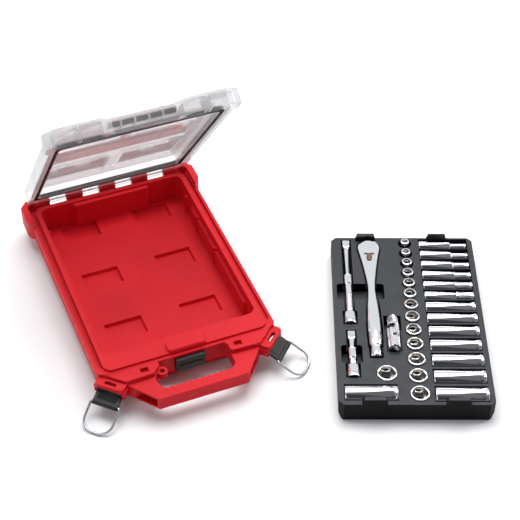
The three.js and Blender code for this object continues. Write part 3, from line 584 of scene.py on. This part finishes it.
def ratchet_rings():
    rings = []
    for degrees in (86, 82, 76, 68, 58, 46, 33, 20, 8, -2, -12):
        angle = radians(degrees)
        y, width = HEAD * math.sin(angle), HEAD * math.cos(angle)
        rings.append(oval(y, width, HALF_HEIGHT - 1.6 * (degrees / 90) ** 8, 4.2))
    neck = radians(12)
    start, pull, end = (HEAD * math.cos(neck), -HEAD * math.sin(neck)), (8.4, -34), (5.15, -70)
    for i in range(1, 15):
        t = i / 14
        width, y = (a * (1 - t) ** 2 + 2 * b * t * (1 - t) + c * t * t for a, b, c in zip(start, pull, end))
        rings.append(oval(y, width, HALF_HEIGHT - 0.9 * t, 4.2 - 1.6 * t))
    grip = [(-78, 5.2), (-90, 6.0), (-100, 6.85), (-108, 7.5), (-120, 8.1), (-134, 8.7), (-147, 9.1)]
    grip += [(-160, 8.85), (-170, 8.4), (-176.2, 8.0)]
    rings += [oval(y, r, r * 0.93, 2.4) for y, r in grip]
    cap = [(-176.8, 7.5), (-177.4, 6.5), (-178.9, 6.35), (-180.8, 6.35), (-181.2, 7.2), (-182.0, 7.35)]
    cap += [(-190.5, 7.2), (-193.6, 7.0), (-194.5, 6.6), (-195, 5.8)]
    return rings + [oval(y, r, r, 2.0) for y, r in cap]


def prism(points, low, high):
    bm = bmesh.new()
    floor_row = [bm.verts.new((x, y, low)) for x, y in points]
    top_row = [bm.verts.new((x, y, high)) for x, y in points]
    bm.faces.new(floor_row)
    bm.faces.new(top_row)
    for i in range(len(points)):
        j = (i + 1) % len(points)
        bm.faces.new((floor_row[i], floor_row[j], top_row[j], top_row[i]))
    bmesh.ops.recalc_face_normals(bm, faces=bm.faces)
    return bm


def circle(radius, x=0.0, y=0.0, count=48):
    angles = [TAU * i / count for i in range(count)]
    return [(x + radius * math.cos(angle), y + radius * math.sin(angle)) for angle in angles]


def carved(bm, tools):
    """The solid in bm less each tool, by Boolean."""
    def spare(data):
        bmesh.ops.recalc_face_normals(data, faces=data.faces)
        mesh = bpy.data.meshes.new("spare")
        data.to_mesh(mesh)
        data.free()
        obj = bpy.data.objects.new("spare", mesh)
        bpy.context.collection.objects.link(obj)
        return obj

    whole = spare(bm)
    cutters = [spare(tool) for tool in tools]
    for cutter in cutters:
        step = whole.modifiers.new("cut", "BOOLEAN")
        step.object = cutter
        step.operation = "DIFFERENCE"
        step.solver = "EXACT"
    bpy.context.view_layer.update()
    result = bmesh.new()
    result.from_object(whole, bpy.context.evaluated_depsgraph_get())
    for obj in (whole, *cutters):
        mesh = obj.data
        bpy.data.objects.remove(obj)
        bpy.data.meshes.remove(mesh)
    return result


crescent = [(6.2, -12.4), (7.6, -15), (7.9, -18.5), (7.0, -22.5), (4.6, -25.8), (2.4, -27.2)]
crescent += [(-x, y) for x, y in reversed(crescent)] + [(-4.5, -11.9), (0, -12.6), (4.5, -11.9)]
seat = [(12.2, -4), (12.2, 4), (-12.2, 4), (-12.2, -4), (-11, -16), (-5, -22), (5, -22), (11, -16)]
ratchet_tools = [
    prism(circle(10.6), -9, 2.6), prism(circle(12.6), -9, -4.4), prism(circle(7.2, 0, -14.4), -4.6, 2.6),
    prism(circle(2.3, 0, -17), 0, 9), prism(crescent, 4.4, 9), prism(seat, -9, -4.4),
]
ratchet_tools += [prism(circle(0.95, side * 8.6, -12, 20), -9, -1.5) for side in (-1, 1)]
ratchet_bm = carved(skinned(ratchet_rings()), ratchet_tools)
finished("ratchet_handle", ratchet_bm, [CHROME], "ratchet", ("ratchet_body",), RATCHET, 0, 2, 42)
refined("ratchet_cover", [SATIN], "ratchet", 0.2)
refined("ratchet_gear", [CHROME], "ratchet_drive", 0.2)
refined("ratchet_ball", [ZINC], "ratchet_drive", 0)
refined("ratchet_pawl", [SATIN], "pawl", 0.2)
refined("direction_lever", [BRONZE], "direction_lever", 0.3)
for word in ("left", "right"):
    refined(f"cover_screw_{word}", [BRONZE], "ratchet", 0.1)
refined("ujoint_socket_fork", [CHROME], "ujoint_socket_end", 0.5)
refined("ujoint_drive_fork", [CHROME], "ujoint_drive_end", 0.5)
refined("ujoint_cross", [SATIN], "ujoint_cross", 0.3)
refined("ujoint_pin", [SATIN], "ujoint_socket_end", 0.2)
refined("ujoint_ball", [ZINC], "ujoint_drive_end", 0)

# ---- size numbers, raised on the tray between the two columns of sockets ----
NUMBER_X = 112.6
ODD_NUMBER = (47, 66)
NUMBER_HEIGHT = 4.6
NUMBER_RISE = 0.12
for size in SIZES:
    letters = bpy.data.curves.new(f"number_{size:02d}", "FONT")
    letters.body = str(size)
    letters.size = NUMBER_HEIGHT
    letters.extrude = NUMBER_RISE
    letters.align_x = "CENTER"
    letters.align_y = "CENTER"
    sample = bpy.data.objects.new("sample", letters)
    bpy.context.collection.objects.link(sample)
    bpy.context.view_layer.update()
    shape = bpy.data.meshes.new_from_object(sample.evaluated_get(bpy.context.evaluated_depsgraph_get()))
    digits = bmesh.new()
    digits.from_mesh(shape)
    bpy.data.objects.remove(sample)
    bpy.data.meshes.remove(shape)
    x, y = ODD_NUMBER if size == ODD_SIZE else (NUMBER_X, row_y(size))
    place = TRAY @ Matrix.Translation((x, y, TRAY_TOP + 0.05)) @ Matrix.Rotation(TAU / 4, 4, "Z")
    finished(f"size_number_{size:02d}", digits, [TRAY_GREY], "tray", (), place)

# ---- floor, light and camera ----
floor_look = Look("studio_floor", (0.86, 0.86, 0.865), 0.6)
floor_look.vary_color(floor_look.noise(2, 2), 0.995, 1.0)
floor_bm = bmesh.new()
bmesh.ops.create_grid(floor_bm, x_segments=2, y_segments=2, size=4)
floor_mesh = bpy.data.meshes.new("floor")
floor_bm.to_mesh(floor_mesh)
floor_bm.free()
floor_mesh.materials.append(floor_look.material)
floor = bpy.data.objects.new("floor", floor_mesh)
floor.location.z = -0.0006
bpy.context.collection.objects.link(floor)

scene = bpy.context.scene
world = bpy.data.worlds.new("studio")
scene.world = world
world.use_nodes = True
world_nodes = world.node_tree.nodes
world_links = world.node_tree.links
background = world_nodes["Background"]
background.inputs["Strength"].default_value = 0.85

# A bright room with one dark side, so that bright metal has something to mirror.
DARK_SIDE = (-0.27, -0.67, 0.69)
SHADES = ((0.0, (0.95, 0.97, 1.0)), (0.6, (0.50, 0.51, 0.54)), (0.97, (0.05, 0.05, 0.06)))
direction = world_nodes.new("ShaderNodeTexCoord").outputs["Generated"]
towards_dark = world_nodes.new("ShaderNodeVectorMath")
towards_dark.operation = "DOT_PRODUCT"
towards_dark.inputs[1].default_value = DARK_SIDE
room = world_nodes.new("ShaderNodeValToRGB")
room.color_ramp.elements.new(SHADES[1][0])
for element, (position, shade) in zip(room.color_ramp.elements, SHADES):
    element.position = position
    element.color = (*shade, 1)
world_links.new(direction, towards_dark.inputs[0])
world_links.new(towards_dark.outputs["Value"], room.inputs["Fac"])
world_links.new(room.outputs["Color"], background.inputs["Color"])
scene.view_settings.view_transform = "Standard"
scene.view_settings.look = "None"


def softbox(name, place, target, width, height, power):
    data = bpy.data.lights.new(name, "AREA")
    data.shape = "RECTANGLE"
    data.size = width
    data.size_y = height
    data.energy = power
    lamp = bpy.data.objects.new(name, data)
    lamp.location = place
    lamp.rotation_euler = (Vector(target) - Vector(place)).to_track_quat("-Z", "Y").to_euler()
    bpy.context.collection.objects.link(lamp)


softbox("overhead", (0.1, 0.5, 1.7), (0, 0, 0), 1.6, 1.2, 34)
softbox("front_left", (-1.3, -1.0, 1.0), (0, 0, 0.05), 0.9, 0.9, 4)
softbox("right", (1.5, -0.1, 0.9), (0.1, 0, 0.05), 0.6, 1.1, 9)

camera_data = bpy.data.cameras.new("camera")
CAMERA_PLACE = (-360.0, -1261.7, 1303.3)
CAMERA_DOWN = 43.31  # degrees below level
CAMERA_TURN = -21.98  # degrees from straight back
camera_data.lens = 98.06
camera_data.sensor_width = 36
camera_data.clip_end = 20
camera = bpy.data.objects.new("camera", camera_data)
camera.location = CASE @ Vector(CAMERA_PLACE)
camera.rotation_euler = (radians(90 - CAMERA_DOWN), 0, radians(CAMERA_TURN))
bpy.context.collection.objects.link(camera)
scene.camera = camera
